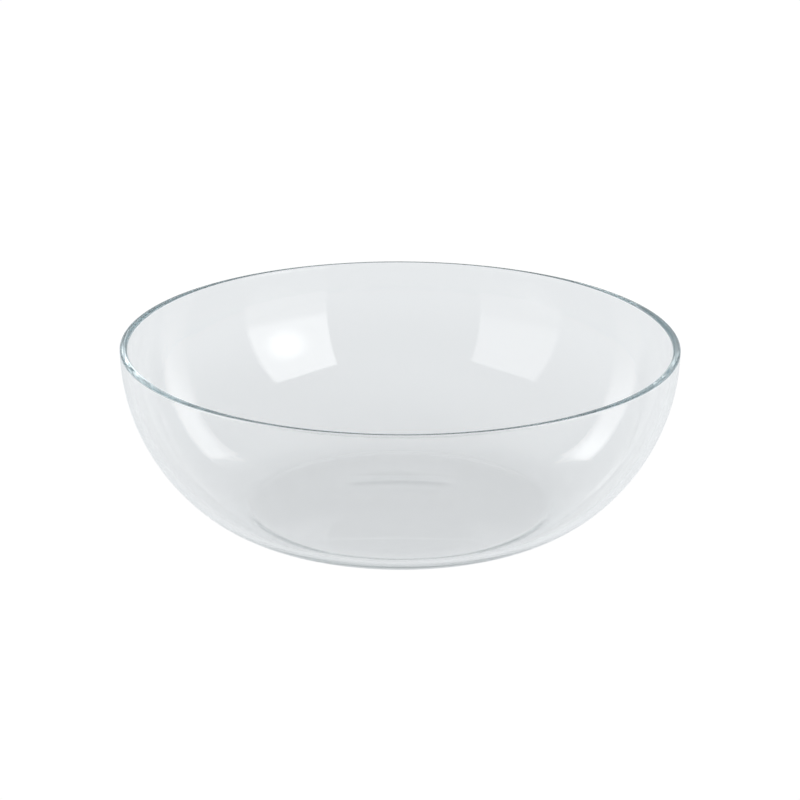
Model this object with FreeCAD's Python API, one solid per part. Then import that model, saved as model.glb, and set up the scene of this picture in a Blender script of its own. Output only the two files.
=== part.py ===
import FreeCAD, Part

import math
import os

# A shallow round crystallizing dish, blown in one piece of clear glass. Millimetres.
# The origin is the centre of the ring that the dish stands on, and +Z is its axis, pointing up.
# The half profile lies in the XZ plane, where X is the distance from the axis.

# Driving dimensions. Slopes are in degrees from level.
RIM_RADIUS = 115.0              # outside of the glass
HEIGHT = 75.2                   # bench to the top of the rim
WALL_THICKNESS = 3.1
FLOOR_THICKNESS = 4.5           # glass over the foot ring
FOOT_OUTER_RADIUS = 61.0        # where the flat foot ring turns up
FOOT_RING_WIDTH = 7.0           # flat glass that touches the bench
PUSH_UP = 1.2                   # how far the middle of the underside stands clear of the bench
FOOT_BEND_RADIUS = 12.0         # from the foot ring up to the cone
CONE_SLOPE = 19.0
CONE_LENGTH = 5.7               # the straight stretch between the foot bend and the heel
OUTER_HEEL_RADIUS = 44.0
OUTER_HEEL_SLOPE = 30.0         # where the heel runs into the lower wall
OUTER_LOWER_WALL_RADIUS = 61.0
INNER_HEEL_RADIUS = 38.0        # inside, from the flat floor to the lower wall
RIM_OUTER_ROUND = 0.6           # the fire-polished corners of the rim
RIM_INNER_ROUND = 1.2

LEVEL = 0.0
UPRIGHT = 90.0


class Bend:
    """A circular stretch of the profile that bulges down and away from the axis.

    A place on it is given by the slope of the glass there, from level to upright.
    """

    def __init__(self, centre_x, centre_z, radius):
        self.centre_x = centre_x
        self.centre_z = centre_z
        self.radius = radius

    def at(self, slope):
        angle = math.radians(slope)
        x = self.centre_x + self.radius * math.sin(angle)
        z = self.centre_z - self.radius * math.cos(angle)
        return FreeCAD.Vector(x, 0, z)

    def edge(self, from_slope, to_slope):
        middle = (from_slope + to_slope) / 2
        return Part.Arc(self.at(from_slope), self.at(middle), self.at(to_slope)).toShape()

    def inset(self, thickness):
        return Bend(self.centre_x, self.centre_z, self.radius - thickness)


def bend_through(place, slope, radius):
    """The bend of a given radius that passes through a place with a given slope."""
    angle = math.radians(slope)
    centre_x = place.x - radius * math.sin(angle)
    centre_z = place.z + radius * math.cos(angle)
    return Bend(centre_x, centre_z, radius)


def slope_where_they_meet(lower, upper):
    """The slope at the point where two bends that touch share a tangent."""
    across = lower.centre_x - upper.centre_x
    up = upper.centre_z - lower.centre_z
    return math.degrees(math.atan2(across, up))


def outer_bends():
    """The foot bend, heel, lower wall and upper wall outside, from the bench to the rim."""
    foot = Bend(FOOT_OUTER_RADIUS, FOOT_BEND_RADIUS, FOOT_BEND_RADIUS)
    angle = math.radians(CONE_SLOPE)
    along_cone = FreeCAD.Vector(math.cos(angle), 0, math.sin(angle)) * CONE_LENGTH
    heel = bend_through(foot.at(CONE_SLOPE) + along_cone, CONE_SLOPE, OUTER_HEEL_RADIUS)
    lower = bend_through(heel.at(OUTER_HEEL_SLOPE), OUTER_HEEL_SLOPE, OUTER_LOWER_WALL_RADIUS)
    # The upper wall touches the lower wall's circle and is upright just below the rim.
    upright_z = HEIGHT - RIM_INNER_ROUND
    reach = RIM_RADIUS - lower.centre_x
    rise = upright_z - lower.centre_z
    radius = (reach**2 + rise**2 - lower.radius**2) / (2 * (reach - lower.radius))
    upper = Bend(RIM_RADIUS - radius, upright_z, radius)
    return foot, heel, lower, upper


def inner_heel_bend(inner_lower):
    """The bend inside that is tangent to the flat floor and to the lower wall."""
    centre_z = FLOOR_THICKNESS + INNER_HEEL_RADIUS
    between_centres = inner_lower.radius - INNER_HEEL_RADIUS
    drop = inner_lower.centre_z - centre_z
    centre_x = inner_lower.centre_x + math.sqrt(between_centres**2 - drop**2)
    return Bend(centre_x, centre_z, INNER_HEEL_RADIUS)


def underside_edges():
    """The foot ring, and inside it the push-up: a shallow dome that turns into a hollow."""
    ring_outside = FreeCAD.Vector(FOOT_OUTER_RADIUS, 0, 0)
    ring_inside = FreeCAD.Vector(FOOT_OUTER_RADIUS - FOOT_RING_WIDTH, 0, 0)
    radius = (ring_inside.x**2 + PUSH_UP**2) / (4 * PUSH_UP)
    quarter_way = ring_inside.x / 4
    sag = radius - math.sqrt(radius**2 - quarter_way**2)
    top = FreeCAD.Vector(0, 0, PUSH_UP)
    turn = FreeCAD.Vector(ring_inside.x / 2, 0, PUSH_UP / 2)
    dome = Part.Arc(top, FreeCAD.Vector(quarter_way, 0, PUSH_UP - sag), turn).toShape()
    on_hollow = FreeCAD.Vector(ring_inside.x - quarter_way, 0, sag)
    hollow = Part.Arc(turn, on_hollow, ring_inside).toShape()
    return [dome, hollow, Part.makeLine(ring_inside, ring_outside)]


def outer_edges(foot, heel, lower, upper):
    wall_slope = slope_where_they_meet(lower, upper)
    return [
        foot.edge(LEVEL, CONE_SLOPE),
        Part.makeLine(foot.at(CONE_SLOPE), heel.at(CONE_SLOPE)),
        heel.edge(CONE_SLOPE, OUTER_HEEL_SLOPE),
        lower.edge(OUTER_HEEL_SLOPE, wall_slope),
        upper.edge(wall_slope, UPRIGHT),
    ]


def rounded_corner(centre_x, centre_z, radius, from_angle, to_angle):
    places = []
    for angle in (from_angle, (from_angle + to_angle) / 2, to_angle):
        turn = math.radians(angle)
        x = centre_x + radius * math.cos(turn)
        places.append(FreeCAD.Vector(x, 0, centre_z + radius * math.sin(turn)))
    return Part.Arc(*places).toShape()


def rim_edges(upper):
    """The rim: a flat top with a small round outside and a larger round inside."""
    outer_x = RIM_RADIUS - RIM_OUTER_ROUND
    outer_z = HEIGHT - RIM_OUTER_ROUND
    inner_x = RIM_RADIUS - WALL_THICKNESS + RIM_INNER_ROUND
    inner_z = HEIGHT - RIM_INNER_ROUND
    below_round = FreeCAD.Vector(RIM_RADIUS, 0, outer_z)
    top_outside = FreeCAD.Vector(outer_x, 0, HEIGHT)
    top_inside = FreeCAD.Vector(inner_x, 0, HEIGHT)
    return [
        Part.makeLine(upper.at(UPRIGHT), below_round),
        rounded_corner(outer_x, outer_z, RIM_OUTER_ROUND, 0, 90),
        Part.makeLine(top_outside, top_inside),
        rounded_corner(inner_x, inner_z, RIM_INNER_ROUND, 90, 180),
    ]


def inner_edges(lower, upper):
    """The inside from the rim down to the axis, parallel to the outside until the heel."""
    inner_upper = upper.inset(WALL_THICKNESS)
    inner_lower = lower.inset(WALL_THICKNESS)
    heel = inner_heel_bend(inner_lower)
    wall_slope = slope_where_they_meet(lower, upper)
    heel_slope = slope_where_they_meet(heel, inner_lower)
    floor_middle = FreeCAD.Vector(0, 0, FLOOR_THICKNESS)
    return [
        inner_upper.edge(UPRIGHT, wall_slope),
        inner_lower.edge(wall_slope, heel_slope),
        heel.edge(heel_slope, LEVEL),
        Part.makeLine(heel.at(LEVEL), floor_middle),
    ]


def dish():
    foot, heel, lower, upper = outer_bends()
    outside = underside_edges() + outer_edges(foot, heel, lower, upper)
    inside = rim_edges(upper) + inner_edges(lower, upper)
    underside_middle = FreeCAD.Vector(0, 0, PUSH_UP)
    floor_middle = FreeCAD.Vector(0, 0, FLOOR_THICKNESS)
    axis = [Part.makeLine(floor_middle, underside_middle)]
    half_section = Part.Face(Part.Wire(outside + inside + axis))
    return half_section.revolve(FreeCAD.Vector(0, 0, 0), FreeCAD.Vector(0, 0, 1), 360)


def main():
    os.makedirs("parts", exist_ok=True)
    shape = dish()
    shape.exportStep("parts/dish.step")
    box = shape.BoundBox
    print("dish", shape.ShapeType, "valid", shape.isValid(), "volume", round(shape.Volume, 1))
    print("size", round(box.XLength, 3), round(box.YLength, 3), round(box.ZLength, 3))


main()
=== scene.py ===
import math

import bpy
from mathutils import Matrix, Vector


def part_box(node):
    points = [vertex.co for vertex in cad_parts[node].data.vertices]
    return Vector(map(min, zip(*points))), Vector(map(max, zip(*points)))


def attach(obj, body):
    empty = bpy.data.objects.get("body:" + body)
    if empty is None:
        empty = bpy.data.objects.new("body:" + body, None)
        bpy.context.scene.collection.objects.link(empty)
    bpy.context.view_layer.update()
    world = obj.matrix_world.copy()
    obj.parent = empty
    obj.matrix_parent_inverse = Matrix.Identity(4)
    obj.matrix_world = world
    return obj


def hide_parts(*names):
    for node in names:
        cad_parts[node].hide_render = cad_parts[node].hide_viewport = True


# A crystallizing dish of clear glass on a pale floor, lit by four panels. Metres, in the CAD frame:
# the origin is the centre of the foot ring, at the bench, and +Z is the dish's axis.

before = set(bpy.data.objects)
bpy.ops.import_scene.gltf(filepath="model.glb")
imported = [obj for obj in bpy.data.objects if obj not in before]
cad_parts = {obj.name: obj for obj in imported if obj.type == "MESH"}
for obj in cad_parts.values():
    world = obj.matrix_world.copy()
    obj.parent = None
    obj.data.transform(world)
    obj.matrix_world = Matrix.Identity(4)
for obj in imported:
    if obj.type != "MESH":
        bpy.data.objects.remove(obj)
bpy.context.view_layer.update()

# ---------------------------------------------------------------- the dish
# The rim's radius and the height come from the CAD node's box; the rest are the dish's own sizes.
RIM_RADIUS, _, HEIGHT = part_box("dish")[1]
WALL_THICKNESS = 0.0031
FLOOR_THICKNESS = 0.0045
FOOT_OUTER_RADIUS = 0.061
FOOT_RING_WIDTH = 0.007
PUSH_UP = 0.0012
FOOT_BEND_RADIUS = 0.012
CONE_SLOPE = 19.0
CONE_LENGTH = 0.0057
OUTER_HEEL_RADIUS = 0.044
OUTER_HEEL_SLOPE = 30.0
OUTER_LOWER_WALL_RADIUS = 0.061
INNER_HEEL_RADIUS = 0.038
RIM_OUTER_ROUND = 0.0009
RIM_INNER_ROUND = 0.0012

# Slopes of the profile, in degrees from level.
LEVEL = 0.0
UPRIGHT = 90.0

# The mesh's fineness.
TURN_STEPS = 384
POINT_SPACING = 0.0012
RIM_STEPS = 8

# ---------------------------------------------------------------- the glass
GLASS_IOR = 1.48
GLASS_TINT = (0.0, 0.28, 0.36, 1.0)
GLASS_DENSITY = 1.5
FILM_SCALE = 30.0
FILM_DETAIL = 6.0
FILM_RANGE = (0.5, 0.8)
HAZE_ROUGHNESS = 0.015
WAVE_SCALE = 12.0
WAVE_DETAIL = 1.0
WAVE_HEIGHT = 0.00002
LIGHT_BOUNCES = 256

# ---------------------------------------------------------------- the floor and the room
STUDIO_TINT = (0.96, 0.985, 1.0, 1.0)
FLOOR_RADIUS = 8.0
FLOOR_CORNERS = 128
FLOOR_GAP = 0.0003
FLOOR_GLOW = 0.65
FLOOR_COLOUR = (0.48, 0.49, 0.50, 1.0)
FLOOR_IOR = 1.1
FLOOR_GLOSS_ROUGHNESS = 0.1
FLOOR_WHITE = 1.02
ROOM_WHITE = 1.1
ROOM_HORIZON = 0.80
ROOM_OVERHEAD = 0.22
ROOM_SIDES = 0.15
# How far up, and how far to the side, a direction points: 0 is level or straight ahead, 1 is fully.
HORIZON_TO_OVERHEAD = (-0.1, 0.62)
AHEAD_TO_SIDE = (0.6, 0.95)

# ---------------------------------------------------------------- the lit panels
PANEL_DISTANCE = 1.6
PANEL_DROP = 0.3
# Heights up a panel between which it turns from its low tone to its high one.
FRONT_STEP = (0.30, 0.46)
BACK_STEP = (0.0, 0.60)
BACK_SLANT = 0.2
# Places on a panel: across it and up it, from the middle of its foot.
FRONT_SPOT = (-0.083, 0.826)
BACK_SPOT = (0.0, 1.1)
SPOT_REACH = 0.42

# ---------------------------------------------------------------- the camera
CAMERA_ELEVATION = 19.334
CAMERA_DISTANCE = 1.15
CAMERA_AIM_HEIGHT = 0.0491
CAMERA_SENSOR = 36.0
CAMERA_LENS = 124.77
CAMERA_ROLL = 0.2
CAMERA_FAR_END = 20.0


class Bend:
    """A circular stretch of the profile that bulges down and away from the axis."""

    def __init__(self, centre_x, centre_z, radius):
        self.centre_x = centre_x
        self.centre_z = centre_z
        self.radius = radius

    def at(self, slope):
        angle = math.radians(slope)
        x = self.centre_x + self.radius * math.sin(angle)
        return x, self.centre_z - self.radius * math.cos(angle)

    def points(self, from_slope, to_slope):
        length = self.radius * math.radians(abs(to_slope - from_slope))
        steps = max(2, round(length / POINT_SPACING))
        slopes = [from_slope + (to_slope - from_slope) * i / steps for i in range(steps + 1)]
        return [self.at(slope) for slope in slopes]

    def inset(self, thickness):
        return Bend(self.centre_x, self.centre_z, self.radius - thickness)


def bend_through(place, slope, radius):
    """The bend of a given radius that passes through a place with a given slope."""
    angle = math.radians(slope)
    return Bend(place[0] - radius * math.sin(angle), place[1] + radius * math.cos(angle), radius)


def slope_where_they_meet(lower, upper):
    across = lower.centre_x - upper.centre_x
    up = upper.centre_z - lower.centre_z
    return math.degrees(math.atan2(across, up))


def outer_bends():
    """The foot, heel, lower wall and upper wall. The upper wall is upright where the rim starts."""
    foot = Bend(FOOT_OUTER_RADIUS, FOOT_BEND_RADIUS, FOOT_BEND_RADIUS)
    cone_x, cone_z = foot.at(CONE_SLOPE)
    angle = math.radians(CONE_SLOPE)
    cone_top = (cone_x + CONE_LENGTH * math.cos(angle), cone_z + CONE_LENGTH * math.sin(angle))
    heel = bend_through(cone_top, CONE_SLOPE, OUTER_HEEL_RADIUS)
    lower = bend_through(heel.at(OUTER_HEEL_SLOPE), OUTER_HEEL_SLOPE, OUTER_LOWER_WALL_RADIUS)
    rim_start_z = HEIGHT - RIM_INNER_ROUND
    reach = RIM_RADIUS - lower.centre_x
    rise = rim_start_z - lower.centre_z
    radius = (reach**2 + rise**2 - lower.radius**2) / (2 * (reach - lower.radius))
    return foot, heel, lower, Bend(RIM_RADIUS - radius, rim_start_z, radius)


def inner_heel_bend(inner_lower):
    """The bend that touches both the floor and the inside of the lower wall."""
    centre_z = FLOOR_THICKNESS + INNER_HEEL_RADIUS
    between_centres = inner_lower.radius - INNER_HEEL_RADIUS
    drop = inner_lower.centre_z - centre_z
    centre_x = inner_lower.centre_x + math.sqrt(between_centres**2 - drop**2)
    return Bend(centre_x, centre_z, INNER_HEEL_RADIUS)


def straight(start, end):
    steps = max(2, round(math.dist(start, end) / POINT_SPACING))
    return [
        (start[0] + (end[0] - start[0]) * i / steps, start[1] + (end[1] - start[1]) * i / steps)
        for i in range(steps + 1)
    ]


def underside(ring_inside_x):
    """The shallow push-up, from the axis out to the foot ring: a dome that turns into a hollow."""
    radius = (ring_inside_x**2 + PUSH_UP**2) / (4 * PUSH_UP)
    points = []
    steps = round(ring_inside_x / POINT_SPACING)
    for i in range(steps + 1):
        x = ring_inside_x * i / steps
        if x < ring_inside_x / 2:
            points.append((x, PUSH_UP - radius + math.sqrt(radius**2 - x**2)))
        else:
            points.append((x, radius - math.sqrt(radius**2 - (ring_inside_x - x) ** 2)))
    return points


def rim(wall_top):
    """Stretches from the top of the outer wall over the rim: a flat top between two rounded corners."""
    outer_x = RIM_RADIUS - RIM_OUTER_ROUND
    outer_z = HEIGHT - RIM_OUTER_ROUND
    inner_x = RIM_RADIUS - WALL_THICKNESS + RIM_INNER_ROUND
    inner_z = HEIGHT - RIM_INNER_ROUND
    quarter = [math.pi / 2 * i / RIM_STEPS for i in range(RIM_STEPS + 1)]
    outer_round = [
        (outer_x + RIM_OUTER_ROUND * math.cos(turn), outer_z + RIM_OUTER_ROUND * math.sin(turn))
        for turn in quarter
    ]
    inner_round = [
        (inner_x - RIM_INNER_ROUND * math.sin(turn), inner_z + RIM_INNER_ROUND * math.cos(turn))
        for turn in quarter
    ]
    return [
        straight(wall_top, (RIM_RADIUS, outer_z)),
        outer_round,
        straight((outer_x, HEIGHT), (inner_x, HEIGHT)),
        inner_round,
    ]


def profile():
    """The half section, from the middle of the underside out round the rim to the floor's middle."""
    foot, heel, lower, upper = outer_bends()
    wall_slope = slope_where_they_meet(lower, upper)
    inner_upper = upper.inset(WALL_THICKNESS)
    inner_lower = lower.inset(WALL_THICKNESS)
    inner_heel = inner_heel_bend(inner_lower)
    heel_slope = slope_where_they_meet(inner_heel, inner_lower)
    ring_inside_x = FOOT_OUTER_RADIUS - FOOT_RING_WIDTH
    stretches = [
        underside(ring_inside_x),
        straight((ring_inside_x, 0.0), (FOOT_OUTER_RADIUS, 0.0)),
        foot.points(LEVEL, CONE_SLOPE),
        straight(foot.at(CONE_SLOPE), heel.at(CONE_SLOPE)),
        heel.points(CONE_SLOPE, OUTER_HEEL_SLOPE),
        lower.points(OUTER_HEEL_SLOPE, wall_slope),
        upper.points(wall_slope, UPRIGHT),
        *rim(upper.at(UPRIGHT)),
        inner_upper.points(UPRIGHT, wall_slope),
        inner_lower.points(wall_slope, heel_slope),
        inner_heel.points(heel_slope, LEVEL),
        straight(inner_heel.at(LEVEL), (0.0, FLOOR_THICKNESS)),
    ]
    points = stretches[0]
    for stretch in stretches[1:]:
        points = points + stretch[1:]
    return points


def lathe(name, points):
    """A closed mesh from a half section that starts and ends on the axis."""
    ring_points = points[1:-1]
    vertices = [(0.0, 0.0, points[0][1])]
    for x, z in ring_points:
        for step in range(TURN_STEPS):
            turn = 2 * math.pi * step / TURN_STEPS
            vertices.append((x * math.cos(turn), x * math.sin(turn), z))
    vertices.append((0.0, 0.0, points[-1][1]))
    last = len(vertices) - 1
    faces = []
    for step in range(TURN_STEPS):
        after = (step + 1) % TURN_STEPS
        faces.append((0, 1 + after, 1 + step))
        for ring in range(len(ring_points) - 1):
            low = 1 + ring * TURN_STEPS
            high = low + TURN_STEPS
            faces.append((low + step, low + after, high + after, high + step))
        top = 1 + (len(ring_points) - 1) * TURN_STEPS
        faces.append((top + step, top + after, last))
    mesh = bpy.data.meshes.new(name)
    mesh.from_pydata(vertices, [], faces)
    mesh.validate()
    mesh.shade_smooth()
    piece = bpy.data.objects.new(name, mesh)
    bpy.context.scene.collection.objects.link(piece)
    return piece


# ---------------------------------------------------------------- materials
def new_material(name):
    material = bpy.data.materials.new(name)
    material.use_nodes = True
    return material, material.node_tree.nodes, material.node_tree.links


def noise(nodes, links, place, scale, detail):
    texture = nodes.new("ShaderNodeTexNoise")
    texture.inputs["Scale"].default_value = scale
    texture.inputs["Detail"].default_value = detail
    links.new(place, texture.inputs["Vector"])
    return texture.outputs["Fac"]


def remap(nodes, links, value, from_range, to_range, interpolation="SMOOTHSTEP"):
    """Turn one range of a value into another, and hold it at the ends."""
    node = nodes.new("ShaderNodeMapRange")
    node.interpolation_type = interpolation
    node.inputs["From Min"].default_value = from_range[0]
    node.inputs["From Max"].default_value = from_range[1]
    node.inputs["To Min"].default_value = to_range[0]
    node.inputs["To Max"].default_value = to_range[1]
    links.new(value, node.inputs["Value"])
    return node.outputs["Result"]


def total(nodes, links, first, second):
    node = nodes.new("ShaderNodeMath")
    node.operation = "ADD"
    links.new(first, node.inputs[0])
    links.new(second, node.inputs[1])
    return node.outputs["Value"]


def clear_glass():
    """Clear glass with low waves in its surface, an uneven film of haze and a tint in its depth."""
    material, nodes, links = new_material("clear_glass")
    shader = nodes["Principled BSDF"]
    shader.inputs["Base Color"].default_value = (1.0, 1.0, 1.0, 1.0)
    shader.inputs["Transmission Weight"].default_value = 1.0
    shader.inputs["IOR"].default_value = GLASS_IOR
    place = nodes.new("ShaderNodeTexCoord").outputs["Object"]
    film = noise(nodes, links, place, FILM_SCALE, FILM_DETAIL)
    haze = remap(nodes, links, film, FILM_RANGE, (0.0, HAZE_ROUGHNESS), "LINEAR")
    links.new(haze, shader.inputs["Roughness"])
    waves = noise(nodes, links, place, WAVE_SCALE, WAVE_DETAIL)
    ripple = nodes.new("ShaderNodeBump")
    ripple.inputs["Distance"].default_value = WAVE_HEIGHT
    links.new(waves, ripple.inputs["Height"])
    links.new(ripple.outputs["Normal"], shader.inputs["Normal"])
    absorption = nodes.new("ShaderNodeVolumeAbsorption")
    absorption.inputs["Color"].default_value = GLASS_TINT
    absorption.inputs["Density"].default_value = GLASS_DENSITY
    links.new(absorption.outputs["Volume"], nodes["Material Output"].inputs["Volume"])
    return material


def white_floor():
    """A pale bench with a faint gloss. Only the camera's own rays see it as pure white."""
    material, nodes, links = new_material("white_floor")
    nodes.clear()
    glow = nodes.new("ShaderNodeEmission")
    glow.inputs["Color"].default_value = STUDIO_TINT
    glow.inputs["Strength"].default_value = FLOOR_GLOW
    matt = nodes.new("ShaderNodeBsdfDiffuse")
    matt.inputs["Color"].default_value = FLOOR_COLOUR
    tone = nodes.new("ShaderNodeAddShader")
    links.new(glow.outputs["Emission"], tone.inputs[0])
    links.new(matt.outputs["BSDF"], tone.inputs[1])
    gloss = nodes.new("ShaderNodeBsdfGlossy")
    gloss.inputs["Roughness"].default_value = FLOOR_GLOSS_ROUGHNESS
    fresnel = nodes.new("ShaderNodeFresnel")
    fresnel.inputs["IOR"].default_value = FLOOR_IOR
    surface = nodes.new("ShaderNodeMixShader")
    links.new(fresnel.outputs["Fac"], surface.inputs[0])
    links.new(tone.outputs["Shader"], surface.inputs[1])
    links.new(gloss.outputs["BSDF"], surface.inputs[2])
    white = nodes.new("ShaderNodeEmission")
    white.inputs["Strength"].default_value = FLOOR_WHITE
    path = nodes.new("ShaderNodeLightPath")
    seen = nodes.new("ShaderNodeMixShader")
    links.new(path.outputs["Is Camera Ray"], seen.inputs[0])
    links.new(surface.outputs["Shader"], seen.inputs[1])
    links.new(white.outputs["Emission"], seen.inputs[2])
    output = nodes.new("ShaderNodeOutputMaterial")
    links.new(seen.outputs["Shader"], output.inputs["Surface"])
    return material


def panel_glow(name, tones, step, spot, spot_place):
    """A lit panel: dim at its foot, brighter above, with a soft hot spot from the lamp behind it."""
    material, nodes, links = new_material(name)
    nodes.clear()
    place = nodes.new("ShaderNodeTexCoord").outputs["Object"]
    axes = nodes.new("ShaderNodeSeparateXYZ")
    links.new(place, axes.inputs["Vector"])
    rise = remap(nodes, links, axes.outputs["Y"], step, tones)
    reach = nodes.new("ShaderNodeVectorMath")
    reach.operation = "DISTANCE"
    reach.inputs[1].default_value = (spot_place[0], spot_place[1], 0.0)
    links.new(place, reach.inputs[0])
    lamp = remap(nodes, links, reach.outputs["Value"], (SPOT_REACH, 0.0), (0.0, spot))
    glow = nodes.new("ShaderNodeEmission")
    links.new(total(nodes, links, rise, lamp), glow.inputs["Strength"])
    output = nodes.new("ShaderNodeOutputMaterial")
    links.new(glow.outputs["Emission"], output.inputs["Surface"])
    return material


# ---------------------------------------------------------------- the studio
def look_at(thing, place, target, roll=0.0):
    forward = (target - place).normalized()
    turn = forward.to_track_quat("-Z", "Y").to_matrix().to_4x4()
    thing.matrix_world = Matrix.Translation(place) @ turn @ Matrix.Rotation(roll, 4, "Z")


def around(azimuth, elevation, distance, target):
    """A place seen from the target at an azimuth to the right of the camera, in degrees."""
    a, e = math.radians(azimuth), math.radians(elevation)
    direction = Vector((math.sin(a) * math.cos(e), -math.cos(a) * math.cos(e), math.sin(e)))
    return target + distance * direction


def panel(name, azimuth, half_width, length, lean, tones, step, slant=0.0, spot=0.0, spot_place=(0, 0)):
    """A lit panel that faces the dish and reaches below the floor. Angles in degrees."""
    half = PANEL_DISTANCE * math.tan(math.radians(half_width))
    foot = -PANEL_DROP
    corners = [
        (-half, foot, 0.0),
        (half, foot, 0.0),
        (half, length - slant, 0.0),
        (-half, length + slant, 0.0),
    ]
    mesh = bpy.data.meshes.new(name)
    mesh.from_pydata(corners, [], [(0, 1, 2, 3)])
    board = bpy.data.objects.new(name, mesh)
    bpy.context.scene.collection.objects.link(board)
    middle = Vector((0, 0, 0))
    look_at(board, around(azimuth, 0.0, PANEL_DISTANCE, middle), middle)
    board.matrix_world = board.matrix_world @ Matrix.Rotation(math.radians(180), 4, "Y")
    board.matrix_world = board.matrix_world @ Matrix.Rotation(math.radians(lean), 4, "Z")
    board.data.materials.append(panel_glow(name + "_glow", tones, step, spot, spot_place))
    board.visible_camera = False


def studio_world():
    """A pale room, darker overhead and brighter at both sides. The camera's own rays see it white."""
    world = bpy.data.worlds.new("studio")
    world.use_nodes = True
    nodes, links = world.node_tree.nodes, world.node_tree.links
    background = nodes["Background"]
    background.inputs["Color"].default_value = STUDIO_TINT
    direction = nodes.new("ShaderNodeTexCoord")
    axes = nodes.new("ShaderNodeSeparateXYZ")
    links.new(direction.outputs["Generated"], axes.inputs["Vector"])
    fade = remap(nodes, links, axes.outputs["Z"], HORIZON_TO_OVERHEAD, (ROOM_HORIZON, ROOM_OVERHEAD))
    sideways = nodes.new("ShaderNodeMath")
    sideways.operation = "ABSOLUTE"
    links.new(axes.outputs["X"], sideways.inputs[0])
    side = remap(nodes, links, sideways.outputs["Value"], AHEAD_TO_SIDE, (0.0, ROOM_SIDES))
    path = nodes.new("ShaderNodeLightPath")
    seen = nodes.new("ShaderNodeMix")
    seen.data_type = "FLOAT"
    links.new(path.outputs["Is Camera Ray"], seen.inputs["Factor"])
    links.new(total(nodes, links, fade, side), seen.inputs["A"])
    seen.inputs["B"].default_value = ROOM_WHITE
    links.new(seen.outputs["Result"], background.inputs["Strength"])
    bpy.context.scene.world = world


def floor():
    """A wide disc, a hair below the foot ring so that the two faces don't coincide."""
    bpy.ops.mesh.primitive_circle_add(vertices=FLOOR_CORNERS, radius=FLOOR_RADIUS, fill_type="NGON")
    ground = bpy.context.object
    ground.name = "studio_floor"
    ground.location.z = -FLOOR_GAP
    ground.data.materials.append(white_floor())


def camera():
    data = bpy.data.cameras.new("camera")
    data.sensor_width = CAMERA_SENSOR
    data.lens = CAMERA_LENS
    data.clip_end = CAMERA_FAR_END
    eye = bpy.data.objects.new("camera", data)
    bpy.context.scene.collection.objects.link(eye)
    target = Vector((0, 0, CAMERA_AIM_HEIGHT))
    place = around(0.0, CAMERA_ELEVATION, CAMERA_DISTANCE, target)
    look_at(eye, place, target, math.radians(CAMERA_ROLL))
    bpy.context.scene.camera = eye


dish = lathe("glass_dish", profile())
dish.data.materials.append(clear_glass())
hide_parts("dish")
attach(dish, "root")

floor()
studio_world()
panel(
    "panel_right", azimuth=53.0, half_width=20.0, length=1.61, lean=4.0,
    tones=(1.25, 2.15), step=FRONT_STEP, spot=2.5, spot_place=FRONT_SPOT,
)
panel(
    "panel_left", azimuth=-56.0, half_width=20.0, length=1.43, lean=-5.0,
    tones=(1.05, 1.4), step=FRONT_STEP,
)
panel(
    "panel_back_right", azimuth=118.0, half_width=8.9, length=1.45, lean=41.0,
    tones=(0.92, 1.4), step=BACK_STEP, slant=-BACK_SLANT,
)
panel(
    "panel_back_left", azimuth=-118.0, half_width=8.9, length=1.45, lean=-41.0,
    tones=(0.92, 1.5), step=BACK_STEP, slant=BACK_SLANT, spot=0.9, spot_place=BACK_SPOT,
)
camera()

scene = bpy.context.scene
scene.view_settings.view_transform = "Standard"
scene.cycles.max_bounces = LIGHT_BOUNCES
scene.cycles.transmission_bounces = LIGHT_BOUNCES
scene.cycles.glossy_bounces = LIGHT_BOUNCES
